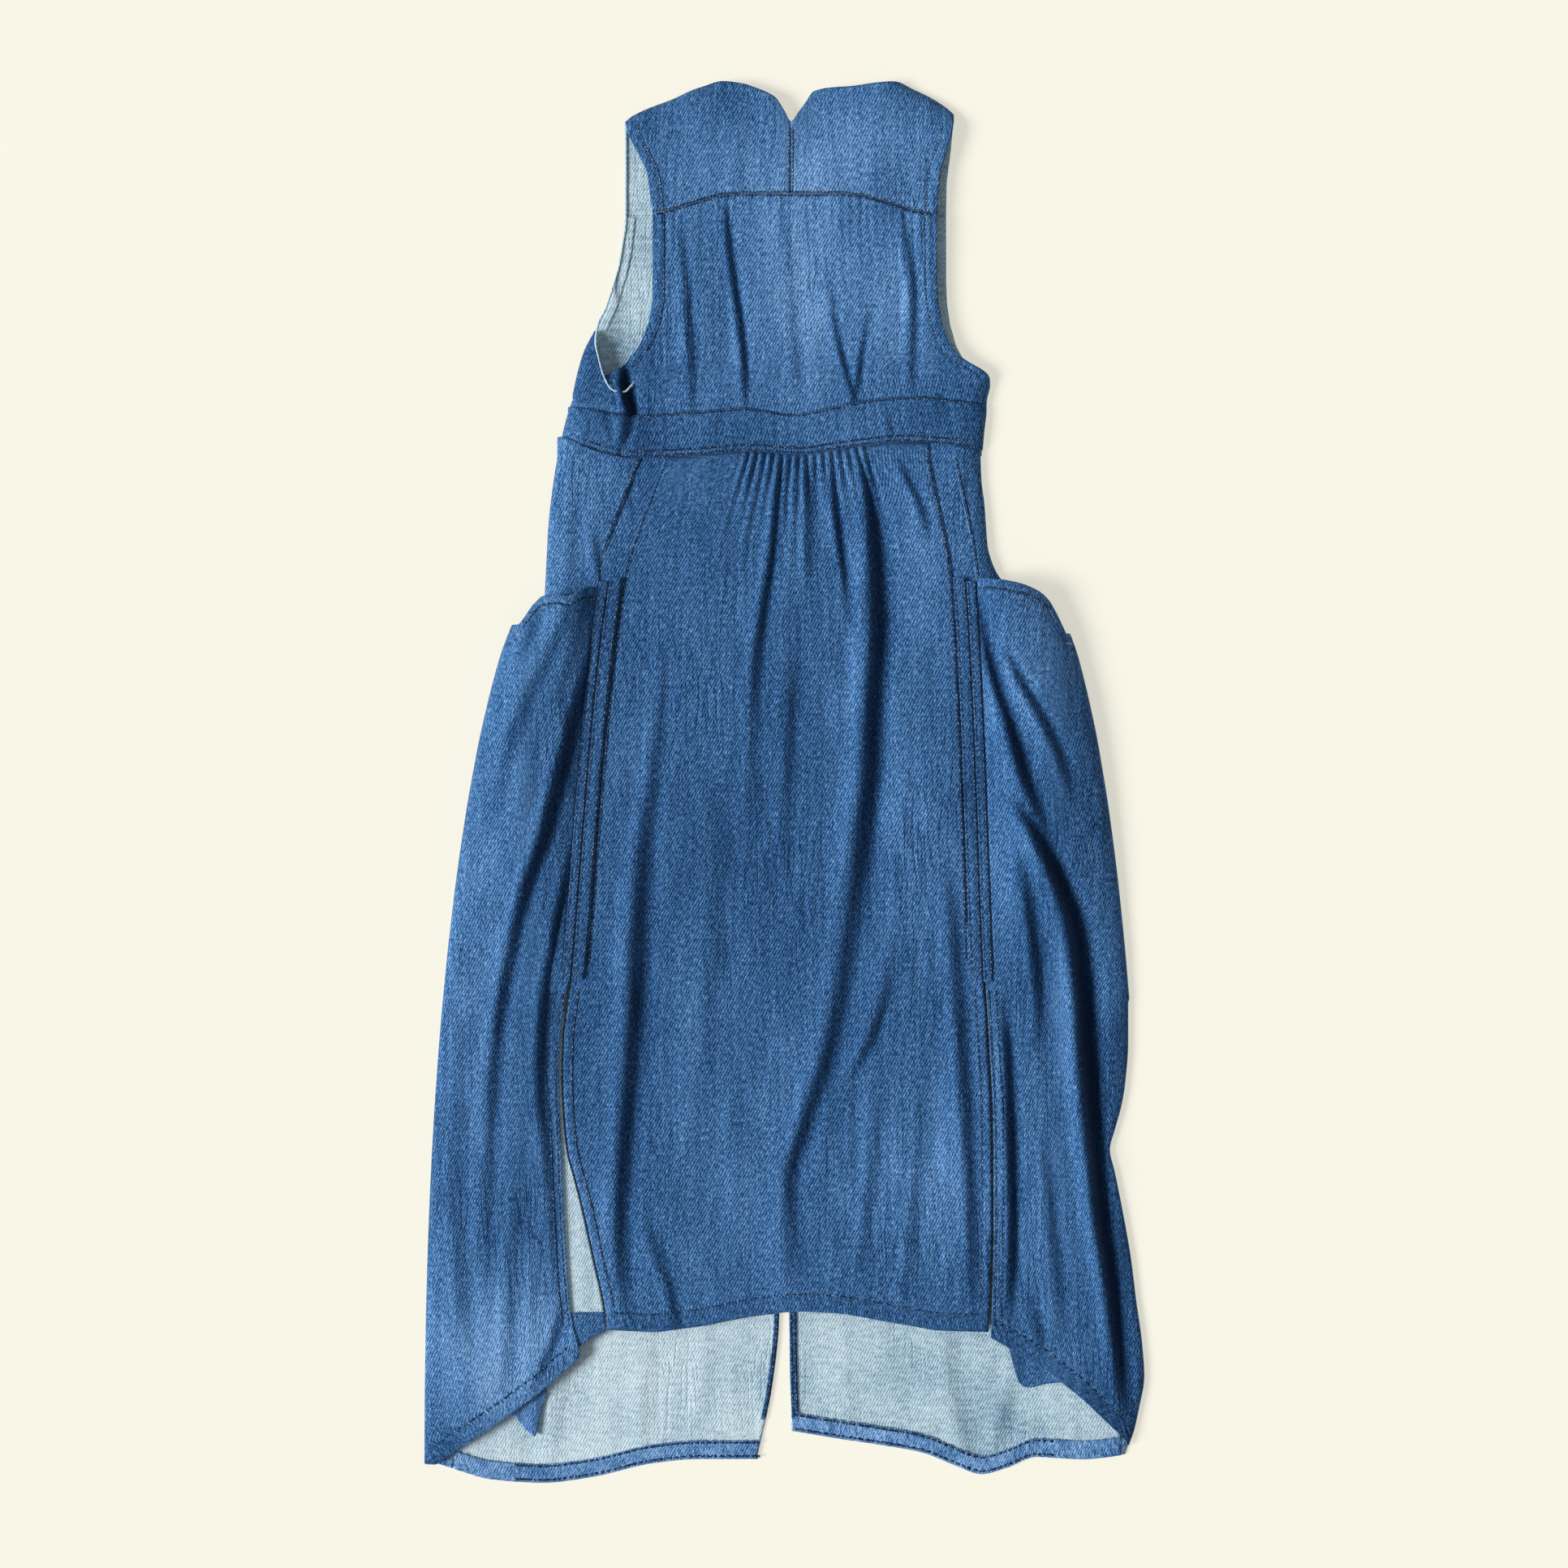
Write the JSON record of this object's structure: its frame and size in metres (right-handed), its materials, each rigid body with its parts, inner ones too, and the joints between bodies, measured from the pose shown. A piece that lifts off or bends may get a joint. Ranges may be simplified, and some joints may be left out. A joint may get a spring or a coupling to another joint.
{
  "type": "artist smock apron",
  "caption": "Sleeveless denim smock apron laid flat: notched yoke, gathered bodice, midriff band, slit front skirt, deep draped side pockets and an open back.",
  "frame": {"origin": "middle of the garment's outline, on the surface it lies on", "axes": "+Y up the garment towards the neck, +Z out of the front of the garment, away from the surface, +X to the right of someone looking down at the front"},
  "size_m": [0.6672, 1.3, 0.0297],
  "materials": {
    "denim": "washed mid-blue twill",
    "denim_trim": "washed mid-blue twill, turned and topstitched",
    "denim_wrong_side": "pale wrong side of the twill",
    "hook_wire": "dark enamelled wire"
  },
  "bodies": {
    "garment": {"front_bodice": "denim", "front_band": "denim", "front_band_lining": "denim_trim", "front_skirt": "denim", "front_yoke_left": "denim", "yoke_lining_left": "denim_wrong_side", "armhole_facing_left": "denim_trim", "front_gore_left": "denim", "slit_band_left": "denim_trim", "pocket_placket_left": "denim_trim", "side_panel_left": "denim", "side_panel_hem_left": "denim_trim", "pocket_drape_left": "denim", "pocket_wrap_left": "denim", "pocket_mouth_hem_left": "denim_trim", "pocket_base_left": "denim_trim", "wrap_hem_left": "denim_trim", "back_yoke_left": "denim", "back_bodice_left": "denim", "back_armhole_facing_left": "denim_trim", "back_band_left": "denim", "back_skirt_left": "denim", "back_skirt_hem_left": "denim_trim", "back_facing_left": "denim_trim", "front_yoke_right": "denim", "yoke_lining_right": "denim_wrong_side", "armhole_facing_right": "denim_trim", "front_gore_right": "denim", "slit_band_right": "denim_trim", "pocket_placket_right": "denim_trim", "side_panel_right": "denim", "side_panel_hem_right": "denim_trim", "pocket_drape_right": "denim", "pocket_wrap_right": "denim", "pocket_mouth_hem_right": "denim_trim", "pocket_base_right": "denim_trim", "wrap_hem_right": "denim_trim", "back_yoke_right": "denim", "back_bodice_right": "denim", "back_armhole_facing_right": "denim_trim", "back_band_right": "denim", "back_skirt_right": "denim", "back_skirt_hem_right": "denim_trim", "back_facing_right": "denim_trim", "neck_hook": "hook_wire", "band_hook": "hook_wire"},
    "front_flap": {"front_flap": "denim", "front_flap_hem": "denim_trim", "flap_slit_facing_left": "denim_trim", "flap_slit_facing_right": "denim_trim"},
    "drape_corner_left": {"drape_corner_left": "denim", "drape_corner_hem_left": "denim_trim", "drape_slit_facing_left": "denim_trim"},
    "drape_corner_right": {"drape_corner_right": "denim", "drape_corner_hem_right": "denim_trim", "drape_slit_facing_right": "denim_trim"},
    "back_tail_left": {"back_tail_left": "denim", "back_tail_hem_left": "denim_trim"},
    "back_tail_right": {"back_tail_right": "denim", "back_tail_hem_right": "denim_trim"}
  },
  "joints": [
    {"name": "front_flap_lift", "type": "hinge", "parent": "garment", "child": "front_flap", "pos_m": [0, -0.184, 0.0126], "axis": [-1, 0, 0], "range_deg": [0, 110]},
    {"name": "drape_corner_left_lift", "type": "hinge", "parent": "garment", "child": "drape_corner_left", "pos_m": [-0.2064, -0.184, 0.0142], "axis": [-0.2422, -0.9702, -0.01], "range_deg": [0, 120]},
    {"name": "drape_corner_right_lift", "type": "hinge", "parent": "garment", "child": "drape_corner_right", "pos_m": [0.1934, -0.184, 0.0142], "axis": [-0.2783, 0.9604, 0.0103], "range_deg": [0, 120]},
    {"name": "back_tail_left_lift", "type": "hinge", "parent": "garment", "child": "back_tail_left", "pos_m": [-0.00534, -0.522, 0.0012], "axis": [-0.8444, -0.5358, 0], "range_deg": [0, 80]},
    {"name": "back_tail_right_lift", "type": "hinge", "parent": "garment", "child": "back_tail_right", "pos_m": [0.00429, -0.522, 0.0012], "axis": [-0.855, 0.5187, 0], "range_deg": [0, 80]}
  ]
}
